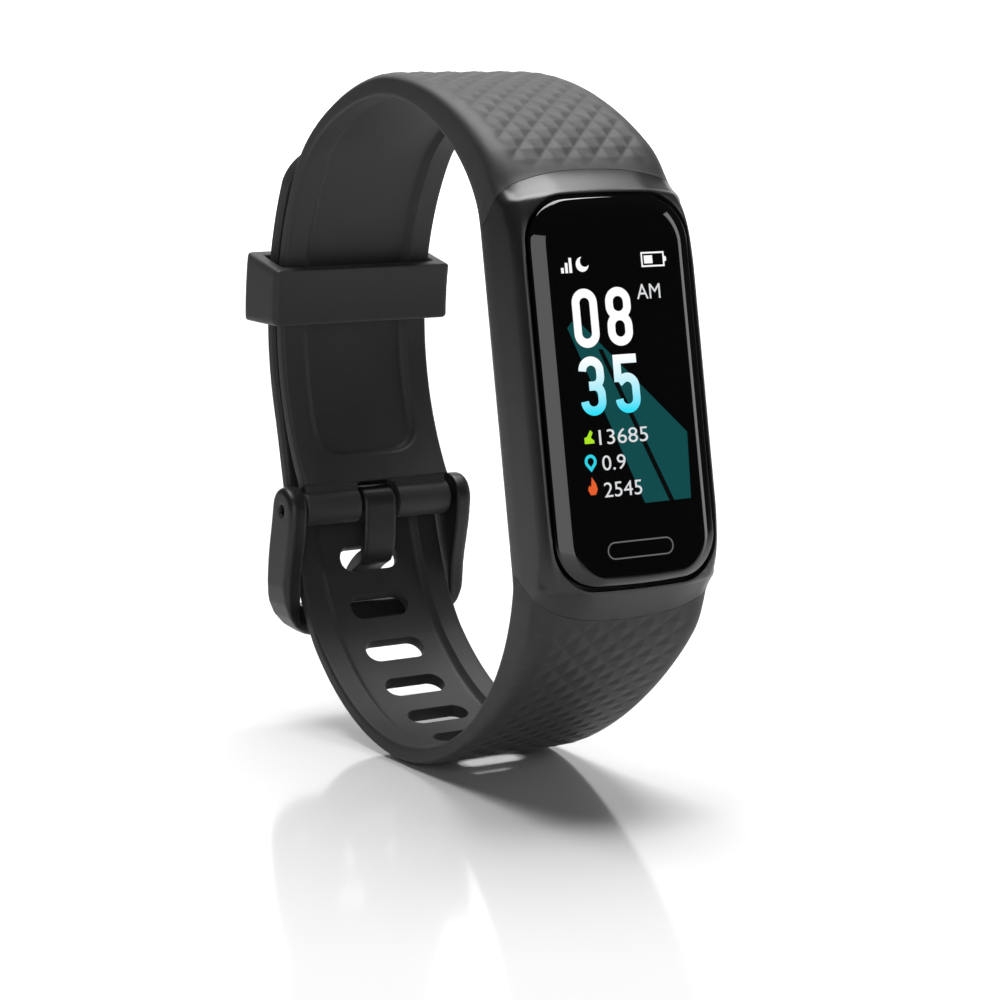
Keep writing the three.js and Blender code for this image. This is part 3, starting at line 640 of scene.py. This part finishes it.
glassLevels = [
    (8.3, 17.0, 3.4, 0.4, -1.0), (8.85, 17.72, 4.0, 0.45, -1.0), (8.9, 17.78, 4.05, 0.45, -0.3),
    (8.88, 17.77, 4.04, 0.45, -0.05), (8.8, 17.71, 4.0, 0.44, 0.12), (8.55, 17.52, 3.9, 0.43, 0.27),
    (8.1, 17.2, 3.65, 0.42, 0.5), (7.65, 16.88, 3.4, 0.4, 0.71), (7.3, 16.6, 3.2, 0.38, 0.85),
    (7.05, 16.4, 3.0, 0.36, 0.915), (6.8, 16.2, 2.9, 0.34, 0.94), (5.8, 15.2, 2.3, 0.3, 0.943),
    (3.0, 12.0, 1.5, 0.1, 0.945),
]
# the lower end is rounded over a shorter distance than the others
rings = [podRing(*level, 0.6 * (17.78 - level[1]) if level[1] > 15 else 1.5) for level in glassLevels]
coverGlass = loft("coverGlass", rings)
smoothShade(coverGlass, 50)
dress(coverGlass, blackGlass, "band", "cover_glass", "front_glass")
print("pod and glass done")

# what the display shows, as flat shapes just above the glass
drawn = {}  # colour name to its points and faces, in the pod's own x and distance along it
lit = {"high": 0.975, "layer": 0.006}  # height above the rim, and between layers


def draw(colour, points, faces, layer=0):
    known, shapes = drawn.setdefault(colour, ([], []))
    first = len(known)
    known += [podPoint(x, along, lit["high"] + lit["layer"] * layer) for x, along in points]
    shapes += [tuple(first + i for i in face) for face in faces]


def stroke(colour, path, width, closed=False, layer=0):
    path = np.array(path, float)
    ahead, behind = np.roll(path, -1, axis=0) - path, path - np.roll(path, 1, axis=0)
    if not closed:
        ahead[-1], behind[0] = behind[-1], ahead[0]
    ahead /= np.hypot(*ahead.T)[:, None]
    behind /= np.hypot(*behind.T)[:, None]
    side = ahead + behind
    side = np.column_stack([-side[:, 1], side[:, 0]])
    side /= np.maximum(0.35, (side * np.column_stack([-ahead[:, 1], ahead[:, 0]])).sum(axis=1))[:, None]
    points = np.vstack([path + side * width / 2, path - side * width / 2])
    n = len(path)
    faces = [(i, (i + 1) % n, n + (i + 1) % n, n + i) for i in range(n if closed else n - 1)]
    draw(colour, points.tolist(), faces, layer)


def bow(x, y, wide, high, start, end, count=14):
    turns = [math.radians(a) for a in np.linspace(start, end, count)]
    return [(x + wide * math.cos(t), y + high * math.sin(t)) for t in turns]


def shifted(path, x, y):
    return [(px + x, py + y) for px, py in path]


def pill(wide, high):
    return bow(wide - high, 0, high, high, -90, 90) + bow(high - wide, 0, high, high, 90, 270)


# condensed figures drawn as broad strokes round their middle lines
figure = {"half": 0.96, "high": 2.33, "round": 0.92, "width": 0.84}


def figureStrokes(digit):
    w, h, r = figure["half"], figure["high"], figure["round"]
    topBow, lowBow = bow(0, h - r, w, r, 180, 0), bow(0, r - h, w, r, 0, -180)
    return {
        "0": [(topBow + lowBow, True)],
        "8": [(bow(0, h - 0.95, 0.98, 0.95, 180, 0) + bow(0, 0.98, 0.98, 0.92, 0, -180), True),
              (bow(0, -0.88, w, 0.94, 180, 0) + lowBow, True)],
        "3": [(topBow + bow(w - 0.8, 0.85, 0.8, 0.85, 0, -90) + [(-0.35, 0)], False),
              ([(-0.35, 0.01)] + bow(w - 0.8, -0.85, 0.8, 0.85, 90, 0) + lowBow, False)],
        "5": [([(w + 0.3, h), (-w + 0.05, h), (-w + 0.02, 0.2)], False),
              ([(-w + 0.1, 0.15)] + bow(0.05, -0.35, w - 0.05, 0.95, 130, 0) + lowBow, False)],
    }[digit]


for text, places, middle in (("08", (-3.95, -0.25), 6.85), ("35", (-3.9, -0.08), 0.55)):
    for digit, x in zip(text, places):
        for layer, (path, closed) in enumerate(figureStrokes(digit)):
            stroke("figures", shifted(path, x, middle), figure["width"], closed, 2 + layer)


def writeText(colour, text, x0, x1, low, high):
    bpy.ops.object.select_all(action="DESELECT")
    bpy.ops.object.text_add()
    piece = bpy.context.object
    piece.data.body = text
    piece.data.resolution_u = 4
    bpy.ops.object.convert(target="MESH")
    mesh = piece.data
    flat = np.array([v.co[:2] for v in mesh.vertices])
    least, most = flat.min(axis=0), flat.max(axis=0)
    flat = (flat - least) / (most - least) * (x1 - x0, high - low) + (x0, low)
    draw(colour, flat.tolist(), [tuple(f.vertices) for f in mesh.polygons], 2)
    bpy.data.objects.remove(piece)


writeText("soft", "AM", 1.95, 4.6, 8.35, 9.75)
writeText("soft", "13685", -3.7, 1.75, -4.95, -3.55)
writeText("soft", "0.9", -3.6, -1.0, -7.35, -5.95)
writeText("soft", "2545", -3.65, 0.55, -9.85, -8.45)
for k in range(3):  # signal bars, rising to the right
    x, top = -6.15 + 0.45 * k, 11.6 + 0.45 * k
    draw("white", [(x, 11.1), (x + 0.3, 11.1), (x + 0.3, top), (x, top)], [(0, 1, 2, 3)], 2)
outerMoon = bow(-3.8, 11.85, 0.7, 0.7, 89.5, 354.5, 28)
innerMoon = bow(-3.5, 12.12, 0.52, 0.52, 124.4, 319.6, 28)
draw("white", outerMoon + innerMoon, [(i, i + 1, 29 + i, 28 + i) for i in range(27)], 2)
batteryLine = [(2.85, 11.4), (5.3, 11.4), (5.3, 12.65), (2.85, 12.65)]
stroke("white", batteryLine, 0.16, True, 2)
draw("white", [(3.1, 11.65), (4.05, 11.65), (4.05, 12.4), (3.1, 12.4)], [(0, 1, 2, 3)], 2)
draw("white", [(5.38, 11.75), (5.6, 11.85), (5.6, 12.2), (5.38, 12.3)], [(0, 1, 2, 3)], 2)
shoe = [
    (-5.3, -4.75), (-4.25, -4.75), (-4.25, -4.5), (-4.6, -4.2), (-4.35, -3.75), (-4.6, -3.5), (-5.0, -4.1),
    (-5.3, -4.2),
]
draw("lime", shoe, [(0, 1, 2, 3), (3, 7, 0), (3, 4, 5, 6), (3, 6, 7)], 2)
pinRound = bow(-4.85, -6.4, 0.5, 0.5, -30, 210, 16)
stroke("cyan", pinRound + [(-4.85, -7.15)], 0.3, True, 2)
flame = [
    (-4.9, -7.85), (-4.5, -8.45), (-4.35, -9.0), (-4.6, -9.5), (-5.15, -9.5), (-5.4, -9.0), (-5.25, -8.6),
    (-5.05, -8.75),
]
draw("orange", flame, [(0, 1, 2, 7), (7, 2, 3, 4), (4, 5, 6, 7)], 2)
sweep = [(-6.05, 6.05), (-5.1, 6.95), (6.2, -4.4), (5.95, -10.65), (0.75, -10.7)]
draw("teal", sweep, [(0, 1, 2, 3, 4)], 0)
draw("dark", [(-2.9, 3.9), (-2.4, 3.9), (4.05, -10.69), (3.5, -10.7)], [(0, 1, 2, 3)], 1)
stroke("grey", shifted(pill(3.62, 0.76), -0.2, -14.85), 0.13, True, 2)


def glow(name, colour, strength, lower=None):
    material = bpy.data.materials.new(name)
    material.use_nodes = True
    nodes, links = material.node_tree.nodes, material.node_tree.links
    shader = nodes["Principled BSDF"]
    shader.inputs["Base Color"].default_value = (0.002, 0.002, 0.002, 1)
    shader.inputs["Roughness"].default_value = 0.2
    shader.inputs["Emission Strength"].default_value = strength
    mix = nodes.new("ShaderNodeMix")
    mix.data_type = "RGBA"
    mix.inputs["A"].default_value = (*(lower or [0.94 * c for c in colour]), 1)
    mix.inputs["B"].default_value = (*colour, 1)
    if lower:  # fades from one colour at the bottom to the other at the top
        place = nodes.new("ShaderNodeTexCoord")
        split = nodes.new("ShaderNodeSeparateXYZ")
        span = nodes.new("ShaderNodeMapRange")
        links.new(place.outputs["Object"], split.inputs["Vector"])
        links.new(split.outputs["Z"], span.inputs["Value"])
        span.inputs["From Min"].default_value = 0.0392
        span.inputs["From Max"].default_value = 0.0442
        links.new(span.outputs["Result"], mix.inputs["Factor"])
    else:
        grain = nodes.new("ShaderNodeGroup")
        grain.node_tree = grainGroup
        links.new(grain.outputs["Height"], mix.inputs["Factor"])
    links.new(mix.outputs["Result"], shader.inputs["Emission Color"])
    return material


shades = {
    "figures": glow("figureLight", (1, 1, 1), 1.0, (0.03, 0.75, 0.95)),
    "white": glow("whiteLight", (1, 1, 1), 1.0),
    "soft": glow("softLight", (0.8, 0.82, 0.84), 0.9),
    "lime": glow("limeLight", (0.45, 0.85, 0.02), 0.95),
    "cyan": glow("cyanLight", (0.03, 0.7, 0.85), 0.95),
    "orange": glow("orangeLight", (0.9, 0.13, 0.03), 0.9),
    "teal": glow("tealLight", (0.006, 0.115, 0.12), 0.6),
    "dark": glow("darkLight", (0.001, 0.002, 0.002), 0.5),
    "grey": glow("greyLight", (0.16, 0.16, 0.16), 0.9),
}
for colour, (points, faces) in drawn.items():
    picture = meshPiece("display" + colour.title(), points, faces)
    bpy.ops.object.mode_set(mode="EDIT")
    bpy.ops.mesh.select_all(action="SELECT")
    bpy.ops.mesh.remove_doubles(threshold=0.000001)
    bpy.ops.mesh.normals_make_consistent(inside=False)
    bpy.ops.object.mode_set(mode="OBJECT")
    dress(picture, shades[colour], "band", "panel_black")
print("display drawn:", ", ".join(drawn))


# a copy of a hard moulding with its edges rounded off
def softened(node, name, voxel, passes):
    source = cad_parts[node]
    piece = source.copy()
    piece.data = source.data.copy()
    piece.name = name
    piece.parent = None
    piece.matrix_world = Matrix.Identity(4)
    piece.hide_render = piece.hide_viewport = False
    for key in list(piece.keys()):
        del piece[key]
    scene.collection.objects.link(piece)
    selectOnly(piece)
    bpy.ops.object.mode_set(mode="EDIT")
    bpy.ops.mesh.select_all(action="SELECT")
    bpy.ops.mesh.remove_doubles(threshold=0.000001)
    bpy.ops.object.mode_set(mode="OBJECT")
    useModifier(piece, "REMESH", mode="VOXEL", voxel_size=voxel * mm)
    useModifier(piece, "SMOOTH", factor=0.5, iterations=passes)
    selectOnly(piece)
    bpy.ops.object.shade_smooth()
    return piece


keeperLoop = softened("keeper", "keeperLoop", 0.17, 10)
dress(keeperLoop, silicone, "keeper_loop", "silicone_charcoal", "keeper")
buckleFrame = softened("buckle_frame", "buckleFrame", 0.13, 16)
dress(buckleFrame, buckleSatin, "buckle", "buckle_dark", "buckle_frame")
buckleTongue = softened("buckle_tongue", "buckleTongue", 0.09, 10)
dress(buckleTongue, buckleSatin, "tongue", "buckle_dark", "buckle_tongue")
print("buckle and keeper done")

# finishes on the pieces that stay as they are
kept = [
    (caseSatin, ["rear_cover"]),
    (lensGloss, ["sensor_window", "photodiode"]),
    (padGold, ["charge_pad_left", "charge_pad_right", "antenna"]),
    (sealFoam, ["glass_gasket", "rear_seal"]),
    (panelStack, ["display_panel"]),
    (ribbonAmber, ["touch_key_pad", "display_flex"]),
    (innerNylon, ["display_bracket", "upper_strap_link", "lower_strap_link"]),
    (boardMask, ["main_board", "sensor_board"]),
    (foilPouch, ["shield_can", "battery"]),
    (turnedSteel, ["vibration_motor", "spring_bar_barrel", "spring_bar_pin_left",
                   "spring_bar_pin_right", "spring_bar_spring"]),
    (clearEpoxy, ["sensor_led_upper", "sensor_led_lower"]),
]
for material, names in kept:
    for node in names:
        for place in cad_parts[node].material_slots:
            place.material = material


def stageFinish():
    material = bpy.data.materials.new("paleFloor")
    material.use_nodes = True
    shader = material.node_tree.nodes["Principled BSDF"]
    shader.inputs["Roughness"].default_value = 0.1
    shader.inputs["Specular IOR Level"].default_value = 0.3
    shader.inputs["Emission Color"].default_value = (1, 1, 1, 1)
    nodes, links = material.node_tree.nodes, material.node_tree.links
    seen = nodes.new("ShaderNodeLightPath")
    pale = nodes.new("ShaderNodeMapRange")  # paler when seen directly than in what it lights
    pale.inputs["To Min"].default_value = 0.7
    pale.inputs["To Max"].default_value = 0.88
    links.new(seen.outputs["Is Camera Ray"], pale.inputs["Value"])
    links.new(pale.outputs["Result"], shader.inputs["Base Color"])
    where = nodes.new("ShaderNodeTexCoord")
    away = nodes.new("ShaderNodeVectorMath")
    away.operation = "LENGTH"
    links.new(where.outputs["Object"], away.inputs[0])
    far = nodes.new("ShaderNodeMapRange")  # the far floor runs into the backdrop
    far.inputs["From Min"].default_value = 0.25
    far.inputs["From Max"].default_value = 0.9
    links.new(away.outputs["Value"], far.inputs["Value"])
    both = nodes.new("ShaderNodeMath")
    both.operation = "MULTIPLY"
    links.new(far.outputs["Result"], both.inputs[0])
    links.new(seen.outputs["Is Camera Ray"], both.inputs[1])
    links.new(both.outputs["Value"], shader.inputs["Emission Strength"])
    return material


bpy.ops.object.select_all(action="DESELECT")
bpy.ops.mesh.primitive_plane_add(size=6, location=(0, 0.1, 0))
floor = bpy.context.object
floor.name = "floor"
floor.data.materials.append(stageFinish())

lamps = {
    "top": {"place": (0.05, 0.12, 0.62), "aim": (0, 0.02, 0), "size": (0.5, 0.5), "power": 6.0},
    "left": {"place": (-0.42, -0.79, 0.18), "aim": (0, 0, 0.04), "size": (0.6, 0.72), "power": 2.5},
    "right": {"place": (0.62, -0.2, 0.15), "aim": (0, 0, 0.05), "size": (0.16, 0.5), "power": 0.5},
}
for name, lamp in lamps.items():
    aim = Vector(lamp["aim"]) - Vector(lamp["place"])
    turned = aim.to_track_quat("-Z", "Y").to_euler()
    bpy.ops.object.light_add(type="AREA", location=lamp["place"], rotation=turned)
    light = bpy.context.object
    light.name = name + "Softbox"
    light.data.shape = "RECTANGLE"
    light.data.size, light.data.size_y = lamp["size"]
    light.data.energy = lamp["power"]

# a white backdrop behind the object and near black elsewhere; the camera itself sees white all round
backdrop = {"towards": (0.515, 0.857, 0.0), "from": 0.7, "to": 0.93, "dim": 0.03, "white": 1.3}
world = bpy.data.worlds.new("studio")
scene.world = world
world.use_nodes = True
nodes, links = world.node_tree.nodes, world.node_tree.links
where = nodes.new("ShaderNodeTexCoord")
facing = nodes.new("ShaderNodeVectorMath")
facing.operation = "DOT_PRODUCT"
facing.inputs[1].default_value = backdrop["towards"]
links.new(where.outputs["Generated"], facing.inputs[0])
shade = nodes.new("ShaderNodeMapRange")
shade.interpolation_type = "SMOOTHSTEP"
shade.inputs["From Min"].default_value = backdrop["from"]
shade.inputs["From Max"].default_value = backdrop["to"]
shade.inputs["To Min"].default_value = backdrop["dim"]
shade.inputs["To Max"].default_value = backdrop["white"]
links.new(facing.outputs["Value"], shade.inputs["Value"])
seen = nodes.new("ShaderNodeLightPath")
brighter = nodes.new("ShaderNodeMath")
brighter.operation = "MAXIMUM"
links.new(shade.outputs["Result"], brighter.inputs[0])
links.new(seen.outputs["Is Camera Ray"], brighter.inputs[1])
links.new(brighter.outputs["Value"], nodes["Background"].inputs["Color"])
scene.view_settings.view_transform = "Standard"
